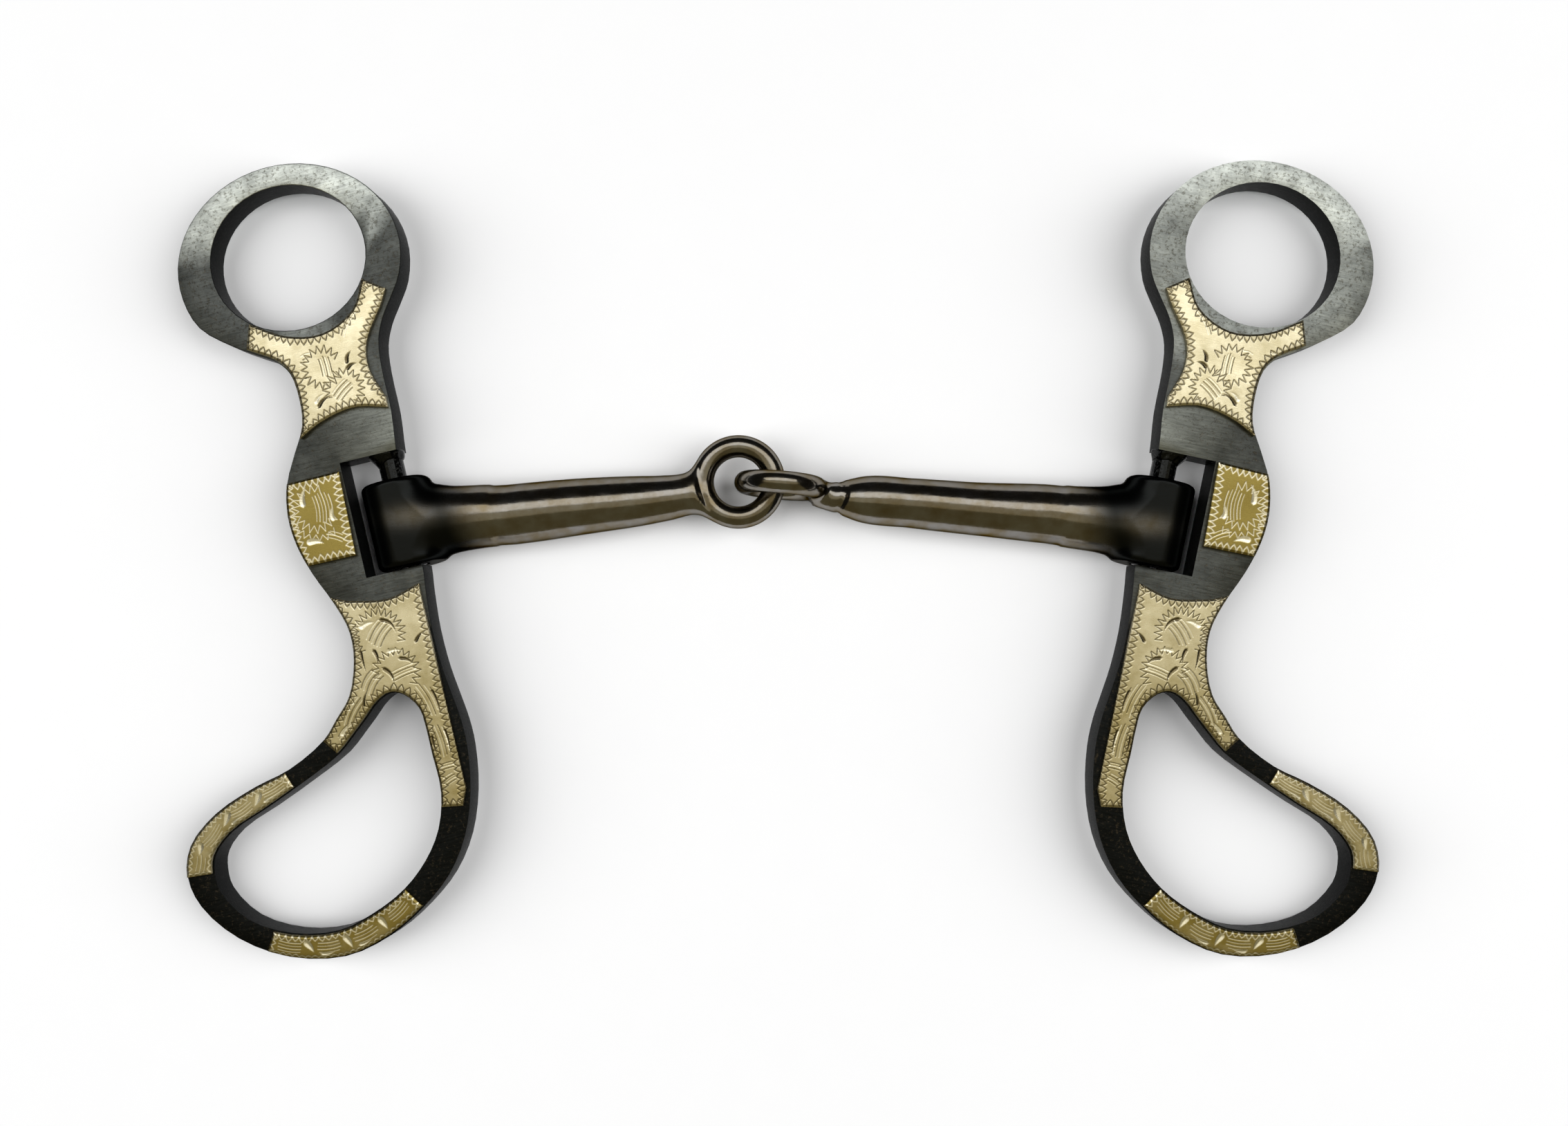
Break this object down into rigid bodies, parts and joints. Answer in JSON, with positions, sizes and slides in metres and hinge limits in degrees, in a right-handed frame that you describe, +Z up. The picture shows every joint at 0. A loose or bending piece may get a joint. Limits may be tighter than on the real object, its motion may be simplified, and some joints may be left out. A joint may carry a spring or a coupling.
{
  "type": "curb bit",
  "caption": "Loose-jaw curb bit: flat steel cheeks with headstall rings, rein loops and engraved silver plates swivel and slide on pins at the ends of a jointed sweet-iron snaffle mouth.",
  "frame": {"origin": "middle of the bit's bounding box in X and Y, on the surface it lies on", "axes": "+X along the mouthpiece to the right-hand cheek, +Y towards the headstall rings, +Z up out of the surface, which the engraved faces look along"},
  "size_m": [0.2188, 0.1448, 0.017],
  "materials": {
    "dark_steel": "browned and lightly brushed",
    "silver": "nickel silver overlay, engraved, with olive tarnish in the cuts",
    "bright_steel": "smooth",
    "sweet_iron": "smooth, glossy, dark brown"
  },
  "bodies": {
    "left_mouth": {"left_cannon": "sweet_iron"},
    "left_pin": {"left_hinge_pin": "bright_steel"},
    "left_cheek": {"left_cheek_plate": "dark_steel", "left_ring_silver": "silver", "left_slot_silver": "silver", "left_fork_silver": "silver", "left_upper_loop_silver": "silver", "left_lower_loop_silver": "silver"},
    "right_mouth": {"right_cannon": "sweet_iron"},
    "right_pin": {"right_hinge_pin": "bright_steel"},
    "right_cheek": {"right_cheek_plate": "dark_steel", "right_ring_silver": "silver", "right_slot_silver": "silver", "right_fork_silver": "silver", "right_upper_loop_silver": "silver", "right_lower_loop_silver": "silver"}
  },
  "joints": [
    {"name": "mouth_centre", "type": "hinge", "parent": "left_mouth", "child": "right_mouth", "pos_m": [-0.00603, 0.0142, 0.008], "axis": [0, 0, 1], "range_deg": [-60, 60]},
    {"name": "left_cheek_slide", "type": "slide", "parent": "left_mouth", "child": "left_pin", "axis": [0.2267, -0.974, 0], "range_m": [0, 0.0024]},
    {"name": "left_cheek_swivel", "type": "hinge", "parent": "left_pin", "child": "left_cheek", "pos_m": [-0.06836, 0.00675, 0.0062], "axis": [-0.2267, 0.974, 0], "range_deg": [-100, 100]},
    {"name": "right_cheek_slide", "type": "slide", "parent": "right_mouth", "child": "right_pin", "axis": [-0.2028, -0.9792, 0], "range_m": [0, 0.0024]},
    {"name": "right_cheek_swivel", "type": "hinge", "parent": "right_pin", "child": "right_cheek", "pos_m": [0.06815, 0.0068, 0.0062], "axis": [-0.2028, -0.9792, 0], "range_deg": [-100, 100]}
  ]
}
